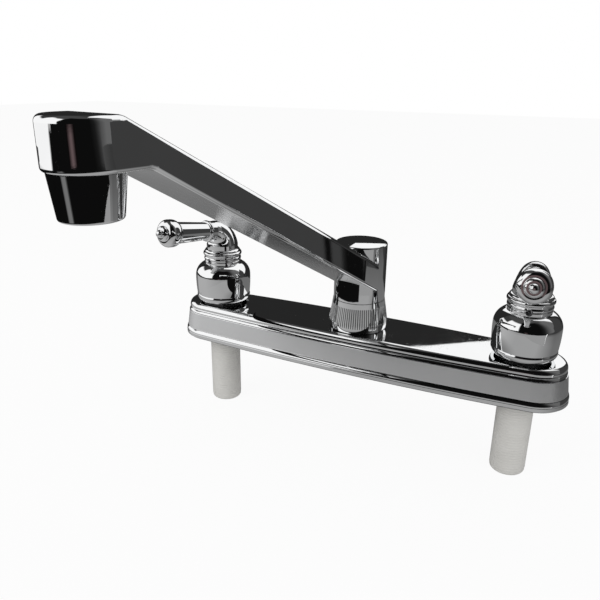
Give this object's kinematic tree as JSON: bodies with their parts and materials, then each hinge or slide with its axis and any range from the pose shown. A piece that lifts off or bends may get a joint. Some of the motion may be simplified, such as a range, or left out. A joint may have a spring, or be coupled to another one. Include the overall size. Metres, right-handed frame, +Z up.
{
  "type": "two handle kitchen faucet",
  "caption": "Kitchen faucet with a long deck plate, a straight rising spout that swings over the sink, and a lever handle at each end with a bell shaped hub and a turned finial.",
  "frame": {"origin": "on the sink deck, under the middle of the base, where the spout's turning axis meets the base plate's underside", "axes": "+Z up along the spout's turning axis, +X along the base to the right handle, -Y out over the sink, to the user"},
  "size_m": [0.2594, 0.2264, 0.2131],
  "materials": {
    "chrome": "polished plating",
    "white_plastic": "moulded, satin",
    "black_plastic": "moulded, satin",
    "grey_plastic": "moulded, satin",
    "brass": "machined",
    "rubber": "moulded, dull",
    "ceramic": "lapped",
    "steel": "machined"
  },
  "bodies": {
    "base": {"escutcheon": "chrome", "base_plate": "black_plastic", "manifold": "white_plastic", "spout_nut": "chrome", "valve_body_left": "white_plastic", "valve_body_right": "white_plastic", "valve_seat_left": "rubber", "valve_seat_right": "rubber", "fixed_disc_left": "ceramic", "fixed_disc_right": "ceramic", "cartridge_left": "grey_plastic", "cartridge_right": "grey_plastic", "bonnet_nut_left": "black_plastic", "bonnet_nut_right": "black_plastic"},
    "left_handle": {"handle_left": "chrome", "lever_left": "chrome", "finial_left": "chrome", "set_screw_left": "steel", "stem_left": "brass", "stem_oring_left": "rubber", "turning_disc_left": "ceramic"},
    "right_handle": {"handle_right": "chrome", "lever_right": "chrome", "finial_right": "chrome", "set_screw_right": "steel", "stem_right": "brass", "stem_oring_right": "rubber", "turning_disc_right": "ceramic"},
    "swing_spout": {"spout": "chrome", "retaining_ring": "grey_plastic", "spout_seal_lower": "rubber", "spout_seal_upper": "rubber", "aerator_housing": "chrome", "aerator_insert": "grey_plastic", "aerator_washer": "rubber"}
  },
  "joints": [
    {"name": "left_handle_turn", "type": "hinge", "parent": "base", "child": "left_handle", "pos_m": [-0.1016, 0, 0.06], "axis": [0, 0, 1], "range_deg": [-76.3, 13.7]},
    {"name": "right_handle_turn", "type": "hinge", "parent": "base", "child": "right_handle", "pos_m": [0.1016, 0, 0.06], "axis": [0, 0, 1], "range_deg": [-4.8, 85.2]},
    {"name": "spout_swing", "type": "hinge", "parent": "base", "child": "swing_spout", "pos_m": [0, 0, 0.05], "axis": [0, 0, 1], "continuous": true}
  ]
}
